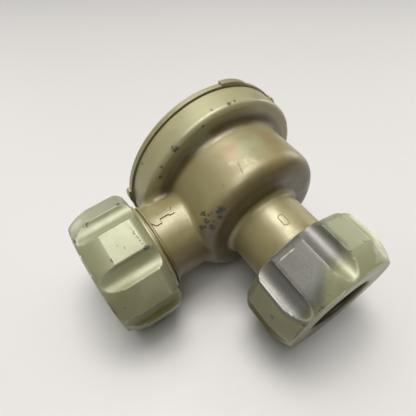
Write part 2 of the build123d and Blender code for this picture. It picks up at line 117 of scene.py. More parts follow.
# Marks raised on the two tubes
TUBE_R = 15.3
MARK_RISE = 0.45
MARK_SINK = 0.3
MARK_REACH = 3.0
MARK_STEP = 0.5
MARK_BEVEL = 0.08
MITER_LIMIT = 0.3
TOP_FACING = 0.5
# Dark band round the arrow, and the arrow's dark sides: dirt and painted shade
DIRT_AND_SHADE_MARGIN = 0.16
DIRT_AND_SHADE_RISE = 0.05
ARROW_TURN = 91.3
ARROW_SIDE = ((1.5, 29.7), (1.5, 31.4), (0.85, 32.0), (0.85, 35.3), (2.5, 35.6), (2.5, 37.6))
ARROW_TIP = 39.4
ARROW_NOTCH = 30.7
RING_TURN = 91.6
RING_HEIGHT = 26.2
RING_HALF_LENGTH = 2.3
RING_HALF_WIDTH = 1.1
RING_THICKNESS = 0.4
RING_STEPS = 64
RING_PROFILE = 9
RING_SMOOTH_ANGLE = 80.0

# Camera, in the inlet port's frame
CAMERA_PLACE = Vector((-52.2, 120.1, 67.8))
CAMERA_RIGHT = Vector((0.827, -0.063, 0.559))
CAMERA_UP = Vector((0.496, 0.55, -0.672))
SENSOR_WIDTH = 36.0
FOCAL_RATIO = 350 / 416
CLIP_START = 0.01

# Stage, in metres and watts; each light has its azimuth from +X towards +Y, its height and its power
TABLE_REACH = 4.0
WORLD_COLOUR = (0.95, 0.97, 1.0, 1)
WORLD_STRENGTH = 0.04
LIGHT_SIZE = 0.65
LIGHT_DISTANCE = 1.3
LIGHTS = (
    ("top", 0, 88, 10.4), ("back_top", 70, 72, 3.5), ("left_top", 138, 68, 2.1),
    ("back_low", 108, 20, 2.6), ("side_low", 8, 14, 2.3), ("side_middle", 40, 50, 0.5),
    ("side_top", 340, 66, 1.7), ("front_top", 230, 64, 5.2),
)


def mount(name):
    return next(m for m in RECORD["mounts"] if m["name"] == name)


INLET_AXIS = Vector(mount("inlet_thread")["axis"]).normalized()
OUTLET_AXIS = Vector(mount("outlet_thread")["axis"]).normalized()
THREAD_MIDDLE = (THREAD_START + THREAD_END) / 2


def port_matrix(name, axis, side, back):
    """Frame on a port, in millimetres, with Z along the port and its origin at the crossing."""
    middle = Vector(mount(name)["pos_m"])
    origin = middle - axis * (back + THREAD_MIDDLE) * MM
    across = axis.cross(side)
    columns = Matrix((side, across, axis)).transposed().to_4x4()
    return Matrix.Translation(origin) @ columns @ Matrix.Scale(MM, 4)


INLET = port_matrix("inlet_thread", INLET_AXIS, -OUTLET_AXIS, INLET_NUT_BACK)
OUTLET = port_matrix("outlet_thread", OUTLET_AXIS, INLET_AXIS, OUTLET_NUT_BACK)


def about_axis(turn, radius, height):
    """Point from degrees round an axis, radius and height along it."""
    angle = math.radians(turn)
    return Vector((radius * math.cos(angle), radius * math.sin(angle), height))


# ---------------------------------------------------------------- meshes

def mesh_object(name, points, faces, matrix, smooth_angle=35.0):
    """Mesh object from millimetre points in a port's frame."""
    mesh = bpy.data.meshes.new(name)
    corners = np.asarray(faces, dtype=np.int32)
    mesh.vertices.add(len(points))
    mesh.vertices.foreach_set("co", np.asarray(points, dtype=np.float32).ravel())
    mesh.loops.add(corners.size)
    mesh.loops.foreach_set("vertex_index", corners.ravel())
    mesh.polygons.add(len(corners))
    starts = np.arange(0, corners.size, corners.shape[1], dtype=np.int32)
    mesh.polygons.foreach_set("loop_start", starts)
    mesh.update(calc_edges=True)
    mesh.transform(matrix)
    mesh.polygons.foreach_set("use_smooth", np.ones(len(corners), dtype=bool))
    mesh.set_sharp_from_angle(angle=math.radians(smooth_angle))
    mesh.validate()
    piece = bpy.data.objects.new(name, mesh)
    bpy.context.scene.collection.objects.link(piece)
    return piece


def loop_faces(rows, columns, closed_rows):
    """Quads of a grid that wraps round its columns, and round its rows if closed."""
    row = np.arange(rows if closed_rows else rows - 1)
    column = np.arange(columns)
    r, c = np.meshgrid(row, column, indexing="ij")
    r2 = (r + 1) % rows
    c2 = (c + 1) % columns
    quads = np.stack([r * columns + c, r * columns + c2, r2 * columns + c2, r2 * columns + c], -1)
    return quads.reshape(-1, 4)


def add_attribute(piece, name, values):
    layer = piece.data.attributes.new(name, "FLOAT", "POINT")
    layer.data.foreach_set("value", np.asarray(values, dtype=np.float32))


def smooth_min(a, b, width):
    """Minimum of two surfaces with a rounded edge between them."""
    h = np.clip(0.5 + 0.5 * (b - a) / width, 0, 1)
    return b * (1 - h) + a * h - width * h * (1 - h)


def circle_through(p, q, r):
    """Centre and radius of the circle through three (radius, height) points."""
    (ax, ay), (bx, by), (cx, cy) = p, q, r
    d = 2 * (ax * (by - cy) + bx * (cy - ay) + cx * (ay - by))
    a2, b2, c2 = ax * ax + ay * ay, bx * bx + by * by, cx * cx + cy * cy
    ux = (a2 * (by - cy) + b2 * (cy - ay) + c2 * (ay - by)) / d
    uy = (a2 * (cx - bx) + b2 * (ax - cx) + c2 * (bx - ax)) / d
    return ux, uy, math.hypot(ax - ux, ay - uy)


NUT_BEVEL_CORNER = (NUT_FACE_R + NUT_FACE_BEVEL, NUT_LENGTH - NUT_FACE_BEVEL)
BACK_ARC = circle_through((NUT_BACK_R, 0), NUT_BACK_MIDDLE, (NUT_R, NUT_BACK_ROUND))
DOME_ARC = circle_through((NUT_R, NUT_DOME_START), NUT_DOME_MIDDLE, NUT_BEVEL_CORNER)

# Rings of the nut's skin, in order from its back face round to its bore: radii on the back face,
# heights up the outside, (radius, height, nearness to an edge) on the front, and (radius, height) inside
BACK_RINGS = (NUT_HOLE_R, NUT_HOLE_R + 0.2, 12.0, 16.0, 20.0, NUT_BACK_R - 0.5)
SIDE_RINGS = (
    *np.linspace(0, NUT_BACK_ROUND, 34),
    *np.linspace(NUT_BACK_ROUND + 0.08, 5.2, 14),
    *np.linspace(5.6, NUT_DOME_START - 0.3, 26),
    NUT_DOME_START,
    *np.linspace(NUT_DOME_START + 0.2, NUT_LENGTH - NUT_FACE_BEVEL, 44),
)
FRONT_RINGS = (
    (21.95, 21.78, 0.7), (NUT_FACE_R, 21.94, 0.8), (21.3, NUT_LENGTH, 0.3),
    (19.0, NUT_LENGTH, 0.0), (16.0, NUT_LENGTH, 0.0),
    (MOUTH_R + 0.4, NUT_LENGTH, 0.2), (MOUTH_R, NUT_LENGTH - 0.04, 0.8),
)
INNER_RINGS = (
    (NUT_RELIEF_R, THREAD_START - 0.02), (NUT_RELIEF_R, 8.0), (NUT_RELIEF_R, NUT_WALL + 0.1),
    (NUT_RELIEF_R - 0.1, NUT_WALL), (11.5, NUT_WALL), (NUT_HOLE_R + 0.1, NUT_WALL),
    (NUT_HOLE_R, NUT_WALL - 0.1), (NUT_HOLE_R, 3.0), (NUT_HOLE_R, 0.2),
)


def arc_radius(arc, z):
    return arc[0] + math.sqrt(max(arc[2] ** 2 - (z - arc[1]) ** 2, 0))


def nut_turned_r(z):
    """Radius of the nut's turned outside at height z."""
    if z < NUT_BACK_ROUND:
        return arc_radius(BACK_ARC, z)
    return NUT_R if z < NUT_DOME_START else arc_radius(DOME_ARC, z)


def nut_side(theta, z, turn):
    """Radius round the nut's outside at one height, nearness to a flute's lip, and 1 on the lobes."""
    step = 2 * math.pi / NUT_LOBES
    from_flute = (theta - math.radians(turn) + step / 2) % step - step / 2
    from_lobe = step / 2 - np.abs(from_flute)
    turned = np.full_like(theta, nut_turned_r(z))
    facet = (turned - (NUT_R - NUT_FLAT_R)) / np.cos(from_lobe)
    centre = FLUTE_BOTTOM_R + FLUTE_R
    under = FLUTE_R ** 2 - (centre * np.sin(from_flute)) ** 2
    far = NUT_R + FLUTE_R
    flute = np.where(under > 0, centre * np.cos(from_flute) - np.sqrt(np.maximum(under, 0)), far)
    outside = smooth_min(turned, facet, LOBE_EDGE)
    lip = np.exp(-((outside - flute) / FLUTE_LIP) ** 2)
    return smooth_min(outside, flute, FLUTE_LIP), lip, np.clip((flute - outside) / FLUTE_LIP, 0, 1)


def bare_share(theta, z):
    """How far the paint is rubbed off the lobe that lies uppermost on the inlet nut."""
    angle = np.degrees(theta)
    after_start = np.clip((angle - BARE_START) / BARE_START_FADE, 0, 1)
    before_stop = np.clip((BARE_STOP - angle) / BARE_STOP_FADE, 0, 1)
    top = BARE_TOP + BARE_SLANT * np.clip((angle - BARE_SLANT_START) / BARE_SLANT_SPAN, 0, 1)
    return after_start * before_stop * np.clip((top - z) / BARE_TOP_FADE, 0, 1)


def nut_thread_rows(theta):
    """Rings of the cut thread inside the nut, from its mouth inwards."""
    rows = []
    for z in np.linspace(THREAD_END, THREAD_START, THREAD_RINGS):
        phase = (z / THREAD_PITCH - theta / (2 * math.pi)) % 1.0
        groove = np.clip(THREAD_FLANK * np.abs(2 * phase - 1) - THREAD_CREST, 0, 1)
        run_out = np.clip(min(THREAD_END - z, z - THREAD_START) / THREAD_RUN_OUT, 0, 1)
        rows.append((THREAD_R + THREAD_DEPTH * groove * run_out, z, 0.0))
    return rows


def nut_rows(theta, turn):
    """Rings of the nut's closed skin, as (radius, height, nearness to an edge)."""
    rows = [(radius, 0.0, 0.0) for radius in BACK_RINGS]
    for z in SIDE_RINGS:
        radius, lip, on_lobe = nut_side(theta, z, turn)
        # The fold drives a painted highlight and nicks in the paint
        fold = FOLD_WEAR_AND_HIGHLIGHT * math.exp(-((z - NUT_BACK_ROUND) / FOLD_REACH) ** 2)
        fold += math.exp(-((z / BACK_EDGE_REACH) ** 2))
        rows.append((radius, z, np.maximum(lip, fold * on_lobe)))
    rows += FRONT_RINGS
    rows += nut_thread_rows(theta)
    rows += [(radius, z, 0.0) for radius, z in INNER_RINGS]
    return rows


def all_round(values, theta):
    """Grid of values, one row a ring, from a single value or a whole row for each ring."""
    return np.array([np.broadcast_to(value, theta.shape) for value in values])


def turned_points(radius, height, theta):
    points = np.stack([radius * np.cos(theta), radius * np.sin(theta), height], -1)
    return points.reshape(-1, 3)


def nut_mesh(name, matrix, back, turn, rubbed):
    """Union nut: lobes, flutes and dome outside, and a cut thread inside."""
    theta = np.arange(NUT_COLUMNS) * 2 * math.pi / NUT_COLUMNS
    radius, height, edge = (all_round(values, theta) for values in zip(*nut_rows(theta, turn)))
    inside = radius < NUT_RELIEF_R + 0.05
    bare = bare_share(theta, height) if rubbed else np.zeros_like(radius)
    points = turned_points(radius, height + back, theta)
    faces = loop_faces(len(radius), NUT_COLUMNS, True)
    piece = mesh_object(name, points, faces, matrix, NUT_SMOOTH_ANGLE)
    add_attribute(piece, "edge", edge.ravel())
    add_attribute(piece, "bare", np.where(inside, 0, bare).ravel())
    add_attribute(piece, "inside", inside.astype(float).ravel())
    return piece


def screw_mesh(name):
    """Adjusting screw with a helical thread and a bevelled end, open at both poles until welded."""
    theta = np.arange(SCREW_COLUMNS) * 2 * math.pi / SCREW_COLUMNS
    rings = [(0.0, SCREW_FOOT), (SCREW_R - SCREW_BEVEL, SCREW_FOOT)]
    for z in np.arange(SCREW_FOOT - 0.1, SCREW_END + 0.05, -SCREW_PITCH / SCREW_RINGS_A_TURN):
        phase = (z / SCREW_PITCH + theta / (2 * math.pi)) % 1.0
        groove = np.clip(SCREW_FLANK * (1 - np.abs(2 * phase - 1)) - SCREW_CREST, 0, 1)
        from_end = min(SCREW_FOOT - z, z - SCREW_END)
        crest = SCREW_R - max(SCREW_BEVEL - from_end, 0)
        rings.append((np.minimum(crest, SCREW_R - SCREW_THREAD_DEPTH * groove), z))
    rings += [(SCREW_R - SCREW_BEVEL - 0.1, SCREW_END), (0.0, SCREW_END)]
    radius, height = (all_round(values, theta) for values in zip(*rings))
    faces = loop_faces(len(rings), SCREW_COLUMNS, False)
    return mesh_object(name, turned_points(radius, height, theta), faces, INLET, SCREW_SMOOTH_ANGLE)


def weld(piece):
    """Join the points that share a place, so that the poles close up."""
    shape = bmesh.new()
    shape.from_mesh(piece.data)
    bmesh.ops.remove_doubles(shape, verts=shape.verts, dist=WELD_REACH)
    bmesh.ops.recalc_face_normals(shape, faces=shape.faces)
    shape.to_mesh(piece.data)
    shape.free()


def cut_slot(screw):
    """Screwdriver slot across the screw's outer end, cut as geometry."""
    half = (SCREW_R + 1, SCREW_SLOT_WIDTH / 2, SCREW_SLOT_DEPTH)
    signs = [(x, y, z) for x in (-1, 1) for y in (-1, 1) for z in (-1, 1)]
    corners = [(x * half[0], y * half[1], SCREW_END + z * half[2]) for x, y, z in signs]
    sides = [(0, 1, 3, 2), (4, 6, 7, 5), (0, 4, 5, 1), (2, 3, 7, 6), (0, 2, 6, 4), (1, 5, 7, 3)]
    cutter = mesh_object("slot_cutter", corners, sides, INLET)
    boolean = screw.modifiers.new("slot", "BOOLEAN")
    boolean.object = cutter
    boolean.solver = "EXACT"
    depsgraph = bpy.context.evaluated_depsgraph_get()
    screw.data = bpy.data.meshes.new_from_object(screw.evaluated_get(depsgraph))
    screw.modifiers.clear()
    screw.data.set_sharp_from_angle(angle=math.radians(SCREW_SMOOTH_ANGLE))
    bpy.data.objects.remove(cutter)


def grown_outline(outline, margin):
    """Outline of (across, height) corners moved outwards by a margin."""
    grown = []
    for i, corner in enumerate(outline):
        before = Vector(corner) - Vector(outline[i - 1])
        after = Vector(outline[(i + 1) % len(outline)]) - Vector(corner)
        out_before = Vector((-before.y, before.x)).normalized()
        out_after = Vector((-after.y, after.x)).normalized()
        miter = out_before + out_after
        grown.append(Vector(corner) - miter * margin / max(miter.dot(out_after), MITER_LIMIT))
    return [tuple(corner) for corner in grown]


def raised_shape(name, matrix, turn, outline, rise):
    """Flat-topped shape that stands proud of a tube, from (across, height) corners.

    Its top takes the first material, and its sides the second.
    """
    shape = bmesh.new()
    shape.faces.new([shape.verts.new((across, height, 0)) for across, height in outline])
    for cut in np.arange(-MARK_REACH, MARK_REACH, MARK_STEP):
        everything = shape.verts[:] + shape.edges[:] + shape.faces[:]
        bmesh.ops.bisect_plane(shape, geom=everything, plane_co=(cut, 0, 0), plane_no=(1, 0, 0))
    grown = bmesh.ops.extrude_face_region(shape, geom=shape.faces[:])
    for item in grown["geom"]:
        if isinstance(item, bmesh.types.BMVert):
            item.co.z = 1
    for vertex in shape.verts:
        angle = turn + math.degrees(vertex.co.x / TUBE_R)
        radius = TUBE_R - MARK_SINK + vertex.co.z * (rise + MARK_SINK)
        vertex.co = matrix @ about_axis(angle, radius, vertex.co.y)
    bmesh.ops.recalc_face_normals(shape, faces=shape.faces[:])
    outward = (matrix.to_3x3() @ about_axis(turn, 1, 0)).normalized()
    for face in shape.faces:
        face.material_index = 0 if face.normal.dot(outward) > TOP_FACING else 1
    mesh = bpy.data.meshes.new(name)
    shape.to_mesh(mesh)
    shape.free()
    piece = bpy.data.objects.new(name, mesh)
    bpy.context.scene.collection.objects.link(piece)
    return piece


def raised_ring(name, matrix):
    """Thin oblong ridge that stands proud of a tube."""
    points = []
    for i in range(RING_STEPS):
        around = 2 * math.pi * i / RING_STEPS
        out = Vector((math.cos(around), math.sin(around)))
        end = math.copysign(RING_HALF_LENGTH - RING_HALF_WIDTH, out.y)
        middle = Vector((out.x * RING_HALF_WIDTH, out.y * RING_HALF_WIDTH + end))
        for j in range(RING_PROFILE):
            across = math.pi * 2 * j / RING_PROFILE
            place = middle + out * math.cos(across) * RING_THICKNESS / 2
            radius = TUBE_R + math.sin(across) * RING_THICKNESS / 2
            turn = RING_TURN + math.degrees(place.x / TUBE_R)
            points.append(about_axis(turn, radius, RING_HEIGHT + place.y))
    faces = loop_faces(RING_STEPS, RING_PROFILE, True)[:, ::-1]
    return mesh_object(name, [tuple(p) for p in points], faces, matrix, RING_SMOOTH_ANGLE)


# ---------------------------------------------------------------- materials

def linear(red, green, blue):
    """Linear colour from 0-255 display values."""
    def one(v):
        v /= 255
        return v / 12.92 if v <= 0.04045 else ((v + 0.055) / 1.055) ** 2.4
    return one(red), one(green), one(blue), 1.0


class Look:
    """Small helper that wires one node material."""

    def __init__(self, name):
        self.material = bpy.data.materials.new(name)
        self.material.use_nodes = True
        self.tree = self.material.node_tree
        self.tree.nodes.clear()
        self.output = self.tree.nodes.new("ShaderNodeOutputMaterial")
        self.shader = self.tree.nodes.new("ShaderNodeBsdfPrincipled")
        self.link(self.shader.outputs["BSDF"], self.output.inputs["Surface"])
        self.place = self.tree.nodes.new("ShaderNodeTexCoord").outputs["Object"]
        self.bumps = None

    def link(self, source, target):
        self.tree.links.new(source, target)

    def feed(self, socket, value):
        if hasattr(value, "is_output"):
            self.link(value, socket)
        else:
            socket.default_value = value

    def noise(self, scale, detail=3.0, roughness=0.55, place=None, output="Fac"):
        node = self.tree.nodes.new("ShaderNodeTexNoise")
        node.inputs["Scale"].default_value = scale
        node.inputs["Detail"].default_value = detail
        node.inputs["Roughness"].default_value = roughness
        self.link(place or self.place, node.inputs["Vector"])
        return node.outputs[output]

    def cells(self, scale):
        node = self.tree.nodes.new("ShaderNodeTexVoronoi")
        node.inputs["Scale"].default_value = scale
        self.link(self.place, node.inputs["Vector"])
        return node.outputs["Distance"]

    def ramp(self, source, low, high, out_low=0.0, out_high=1.0):
        node = self.tree.nodes.new("ShaderNodeMapRange")
        node.interpolation_type = "SMOOTHSTEP"
        for socket, value in zip(node.inputs[1:5], (low, high, out_low, out_high)):
            socket.default_value = value
        self.link(source, node.inputs[0])
        return node.outputs[0]

    def patches(self, scale, low, high, detail=3.0, roughness=0.55):
        """Blotches of noise: 0 where it is below low, 1 where it is above high."""
        return self.ramp(self.noise(scale, detail, roughness), low, high)

    def math(self, kind, a, b=None):
        node = self.tree.nodes.new("ShaderNodeMath")
        node.operation = kind
        for socket, value in zip(node.inputs, (a, b)):
            if value is not None:
                self.feed(socket, value)
        return node.outputs[0]

    def times(self, *factors):
        product = factors[0]
        for factor in factors[1:]:
            product = self.math("MULTIPLY", product, factor)
        return product

    def vector(self, kind, a, b):
        node = self.tree.nodes.new("ShaderNodeVectorMath")
        node.operation = kind
        self.feed(node.inputs[0], a)
        self.feed(node.inputs[1], b)
        return node.outputs["Value" if kind in ("DISTANCE", "DOT_PRODUCT") else "Vector"]

    def mix(self, factor, a, b):
        node = self.tree.nodes.new("ShaderNodeMix")
        node.data_type = "RGBA"
        self.feed(node.inputs[0], factor)
        self.feed(node.inputs[6], a)
        self.feed(node.inputs[7], b)
        return node.outputs[2]

    def over(self, colour, layer, *shares):
        """A layer of another colour, as strong as the product of its shares."""
        return self.mix(self.times(*shares), colour, layer)

    def attribute(self, name):
        node = self.tree.nodes.new("ShaderNodeAttribute")
        node.attribute_name = name
        return node.outputs["Fac"]

    def port(self, matrix):
        """The object's own coordinates in a port's frame, in millimetres."""
        node = self.tree.nodes.new("ShaderNodeMapping")
        node.vector_type = "TEXTURE"
        place, turn, size = matrix.decompose()
        node.inputs["Location"].default_value = place
        node.inputs["Rotation"].default_value = turn.to_euler()
        node.inputs["Scale"].default_value = size
        self.link(self.place, node.inputs["Vector"])
        return node.outputs["Vector"]

    def parts(self, vector):
        node = self.tree.nodes.new("ShaderNodeSeparateXYZ")
        self.link(vector, node.inputs[0])
        return node.outputs

    def ragged(self, place, scale, reach):
        """A place moved about by noise, so that marks measured from it get uneven outlines."""
        wander = self.noise(scale, 2.0, place=place, output="Color")
        wander = self.vector("SUBTRACT", wander, (0.5, 0.5, 0.5))
        return self.vector("ADD", place, self.vector("MULTIPLY", wander, (reach, reach, reach)))

    def marks(self, place, spots, soft=0.25):
        """1 inside any of some spots, each a point and its size in millimetres."""
        nearest = None
        for point, size in spots:
            reach = self.math("DIVIDE", self.vector("DISTANCE", place, point), size)
            nearest = reach if nearest is None else self.math("MINIMUM", nearest, reach)
        return self.ramp(nearest, 1 + soft, 1 - soft)

    def edges(self, radius):
        """Nearness to an edge, from how far a rounded normal leans from the true one."""
        bevel = self.tree.nodes.new("ShaderNodeBevel")
        bevel.samples = EDGE_SAMPLES
        bevel.inputs["Radius"].default_value = radius
        normal = self.tree.nodes.new("ShaderNodeNewGeometry").outputs["Normal"]
        same = self.vector("DOT_PRODUCT", bevel.outputs["Normal"], normal)
        return self.ramp(self.math("SUBTRACT", 1.0, same), *EDGE_LEAN)

    def bump(self, height, strength, distance):
        node = self.tree.nodes.new("ShaderNodeBump")
        node.inputs["Strength"].default_value = strength
        node.inputs["Distance"].default_value = distance
        self.link(height, node.inputs["Height"])
        if self.bumps is not None:
            self.link(self.bumps, node.inputs["Normal"])
        self.bumps = node.outputs["Normal"]
        self.link(self.bumps, self.shader.inputs["Normal"])

    def set(self, **values):
        for name, value in values.items():
            self.feed(self.shader.inputs[name.replace("_", " ")], value)


EDGE_SAMPLES = 6
EDGE_LEAN = (0.02, 0.2)
PAINT_METALLIC = 0.2
COAT = 0.3
COAT_ROUGHNESS = 0.36
CHIP_ROUGHNESS = 0.2
METAL_GRAIN = 1400

# Paint tones of each part: main, shaded and warmer
BODY_TONES = (linear(145, 135, 95), linear(134, 123, 82), linear(150, 141, 107))
NUT_TONES = (linear(152, 153, 122), linear(141, 140, 106), linear(157, 154, 122))
COVER_TONES = (linear(156, 151, 114), linear(145, 139, 100), linear(160, 153, 118))
FLANGE_OLIVE = linear(168, 163, 124)

# Dirt and stains, with painted shade in the barrel's hollows and on the nuts' olive patches, and a
# darker brown inside each nut's bore
STAIN = linear(112, 92, 48)
GRIME = linear(52, 45, 30)
# Painted shade on the barrel's front and in the step
SHADE_BROWN = linear(84, 71, 40)
JOINT_BROWN = linear(116, 86, 48)
STAIN_BROWN = linear(138, 108, 58)
STAIN_GREEN = linear(152, 158, 118)
# Olive patches on the nuts: stains, partly painted shade
OLIVE_STAIN_AND_SHADE = linear(106, 99, 54)
BORE_BROWN = linear(74, 68, 52)
DUST = linear(128, 122, 106)

# Wear, with painted highlights partly in the cream rubs and scuffs and along the paint's and the steel's
# edges
CHIP_DARK = linear(46, 43, 42)
CHIP_GREY = linear(84, 86, 90)
PRIMER_RED = linear(150, 74, 60)
# Pale rubs on the neck, partly a painted glint
RUB_AND_GLINT_CREAM = linear(206, 197, 164)
RUB_GREY = linear(206, 204, 194)
# Cream scuffs on the nuts' domes, partly a painted highlight
SCUFF_AND_HIGHLIGHT_CREAM = linear(205, 201, 176)
# Painted highlight along the nuts' edges
NUT_EDGE_HIGHLIGHT = linear(200, 198, 176)
# Painted highlight along the cover's edges
COVER_EDGE_HIGHLIGHT = linear(206, 202, 170)
STEEL_LIGHT = linear(122, 120, 112)
STEEL_DARK = linear(107, 105, 97)
STEEL_STAINED = linear(74, 76, 62)
# Painted highlight along the bare steel's edges
STEEL_EDGE_HIGHLIGHT = linear(206, 204, 196)
METAL_EDGE = linear(214, 212, 204)

# Table
TABLE_LIGHT = linear(204, 201, 197)
TABLE_SHADE = linear(201, 198, 194)
TABLE_SPECK = linear(170, 160, 145)

# Painted shade, darker and more olive on what lies low, between two heights above the table in metres
LOW_SHADE_OLIVE = linear(94, 90, 38)
LOW_SHADE_START = 0.044
LOW_SHADE_FULL = 0.014


def spots(*rows):
    """Marks on a port: degrees round it, radius, height and the mark's own size in millimetres."""
    return [(about_axis(turn, radius, height), size) for turn, radius, height, size in rows]


def spots_along(start, end, count, size):
    """Small marks in a row, for a scratch between two (degrees, radius, height) places."""
    first = about_axis(*start)
    last = about_axis(*end)
    return [(first.lerp(last, i / (count - 1)), size) for i in range(count)]


BODY_BROWN_STAINS = spots((100, 29, -1, 4.0), (73, 29, 7, 5.0), (64, 29, 2, 4.0))
BODY_GREEN_STAINS = spots((80, 29, 3, 5.5), (108, 35, -13, 6.0))
# Pale rubs on the neck, partly a painted glint
BODY_RUBS_AND_GLINTS = spots((94, 29, 6.6, 1.5), (91, 29, 7.8, 1.3), (102, 29, 4.2, 1.2))
BODY_SCRATCH = spots_along((99, 29, 5.3), (102.4, 29, 10.8), 12, 0.22)
BODY_CHIPS = spots(
    (122, 36.3, -11.6, 1.3), (101.6, 35.3, -11.3, 0.6), (135, 36.2, -11.5, 0.6),
    (142, 34.4, -11.3, 0.8), (143, 37.2, -20.1, 0.6), (82, 37.2, -13.0, 0.9),
    (78, 37.2, -13.4, 0.6), (93, 37.2, -13.8, 0.5), (118, 37.2, -17.0, 0.4),
    (141, 28.7, 9.6, 1.0), (144, 28.3, 11.7, 1.1), (139, 28.4, 11.3, 0.6),
    (146, 26.6, 13.9, 1.2), (151, 28.5, 11.2, 1.0), (149, 28.2, 12.4, 0.7),
    (130, 27.2, 13.3, 1.3), (135.5, 26.2, 14.1, 1.0), (133, 27.4, 12.8, 0.6),
    (143, 29.0, 8.6, 0.5), (141, 26.9, 13.5, 0.6), (136, 28.3, 11.6, 0.5),
    (20, 36.8, -12.0, 1.1), (250, 36.8, -12.2, 1.3), (310, 36.5, -11.6, 0.8),
)
# The nuts' stains are partly painted shade, and their scuffs partly a painted highlight
INLET_NUT_MARKS = {
    "stains": spots((157, 24.0, 47.0, 10.0), (150, 23.0, 56.0, 6.0), (200, 24.0, 48.0, 9.0)),
    "scuffs_and_highlights": spots((40, 24.0, 52.5, 4.2), (56, 23.7, 54.0, 2.6), (24, 23.9, 51.0, 3.0)),
    "rubs": spots_along((123, 24.4, 38.8), (111, 24.3, 38.9), 13, 0.3),
    "chips": spots(
        (162, 24.3, 48.4, 0.9), (124, 22.4, 56.5, 0.7), (127, 22.4, 56.2, 0.5),
        (82, 24.8, 49.8, 0.5), (64, 24.4, 49.5, 0.4), (145, 22.3, 56.8, 0.6),
        (230, 24.6, 50.0, 1.0), (290, 24.6, 39.0, 0.9),
    ),
}
# The nuts' stains are partly painted shade, and their scuffs partly a painted highlight
OUTLET_NUT_MARKS = {
    "stains": spots((31, 24.0, 59.0, 7.0), (10, 24.0, 54.0, 9.0), (255, 24.0, 50.0, 6.0)),
    "scuffs_and_highlights": spots((121, 23.6, 61.0, 2.4), (160, 24.0, 56.0, 3.0)),
    "rubs": spots_along((103, 22.6, 62.6), (96, 22.6, 62.9), 6, 0.3),
    "chips": [
        *spots(
            (110, 24.7, 45.4, 0.8), (107.5, 24.4, 57.9, 0.9), (62, 24.7, 45.2, 1.1),
            (102, 22.4, 63.4, 0.8), (29, 23.5, 60.5, 0.5), (71, 24.4, 51.0, 0.35),
            (75, 24.3, 52.4, 0.3), (200, 24.6, 52.0, 1.0), (290, 24.6, 47.0, 0.9),
        ),
        *spots_along((68.9, 24.4, 56.4), (66, 24.5, 56.3), 5, 0.35),
        *spots_along((82, 24.5, 46.2), (66, 24.5, 45.6), 9, 0.32),
    ],
}
PRIMER_SPOT = spots((109.5, 24.3, 38.3, 0.5))


def paint_base(look, main, shade, warm):
    """Old satin paint: cloudy tone, faint stains and fine specks of dirt."""
    colour = look.mix(look.patches(30, 0.36, 0.66, 4), main, shade)
    colour = look.over(colour, warm, look.patches(17, 0.48, 0.72), 0.5)
    colour = look.over(colour, STAIN, look.patches(75, 0.56, 0.74, 5, 0.65), 0.30)
    speck = look.ramp(look.cells(420), 0.16, 0.08)
    return look.over(colour, GRIME, speck, look.patches(160, 0.56, 0.64, 2), 0.55)


def lower_shade(look, colour, amount):
    """Painted shade: darker and more olive on what lies low, towards the table."""
    low = look.ramp(look.parts(look.place)[2], LOW_SHADE_START, LOW_SHADE_FULL)
    uneven = look.ramp(look.noise(60), 0.2, 0.6, 0.6, 1.0)
    return look.over(colour, LOW_SHADE_OLIVE, low, uneven, amount)


def chip_colour(look):
    return look.mix(look.patches(700, 0.47, 0.66, 3, 0.7), CHIP_DARK, CHIP_GREY)


def finish_paint(look, colour, gloss, chips, metallic=PAINT_METALLIC):
    """Satin coat over orange peel and casting waves, with chips duller and below the surface."""
    roughness = look.math("ADD", gloss, look.times(chips, CHIP_ROUGHNESS))
    look.set(Base_Color=colour, Metallic=metallic, Roughness=roughness)
    look.set(Coat_Weight=COAT, Coat_Roughness=COAT_ROUGHNESS)
    look.bump(look.noise(2400, 3, 0.6), 0.10, 0.0001)
    look.bump(look.noise(260), 0.10, 0.0005)
    look.bump(look.noise(70, 2), 0.25, 0.001)
    look.bump(look.math("SUBTRACT", 1.0, chips), 0.5, 0.0001)
    return look.material


def body_tint_shade_and_dirt(look, colour, place):
    """Paler flange, painted shade in brown on the barrel's front and in the step, and brown dirt at the
    inlet nut.
    """
    height = look.parts(place)[2]
    squares = look.math("SUBTRACT", look.vector("DOT_PRODUCT", place, place), look.times(height, height))
    radius = look.math("SQRT", squares)
    colour = look.over(colour, FLANGE_OLIVE, look.ramp(height, -10.0, -12.5), 0.75)
    front = look.times(look.ramp(height, 9.0, 15.0), look.ramp(radius, 15.8, 17.5))
    step = look.times(look.ramp(height, -7.0, -9.6), look.ramp(height, -12.6, -11.0))
    step = look.times(step, look.ramp(radius, 34.0, 31.0))
    # Painted shade: the barrel's front and the step are darkened brown
    painted_shade = look.math("MAXIMUM", look.times(front, 0.85), look.times(step, 0.95))
    colour = look.mix(painted_shade, colour, SHADE_BROWN)
    joint = look.times(look.ramp(height, 32.6, 34.8), look.ramp(radius, 17.5, 16.0))
    return look.over(colour, JOINT_BROWN, joint, 0.55)


def body_stains(look, colour, place):
    uneven = look.ragged(place, 0.16, 9.0)
    colour = look.over(colour, STAIN_BROWN, look.marks(uneven, BODY_BROWN_STAINS, 0.6), 0.45)
    return look.over(colour, STAIN_GREEN, look.marks(uneven, BODY_GREEN_STAINS, 0.6), 0.4)


def body_chips(look, place, jagged):
    """Placed chips, chipped edges and one scratch."""
    chips = look.times(look.marks(jagged, BODY_CHIPS), look.patches(1300, 0.38, 0.46, 4, 0.8))
    chipped_edge = look.times(look.edges(0.0006), look.patches(520, 0.60, 0.66, 4, 0.7))
    chips = look.math("MAXIMUM", chips, chipped_edge)
    return look.math("MAXIMUM", chips, look.times(look.marks(place, BODY_SCRATCH), 0.6))


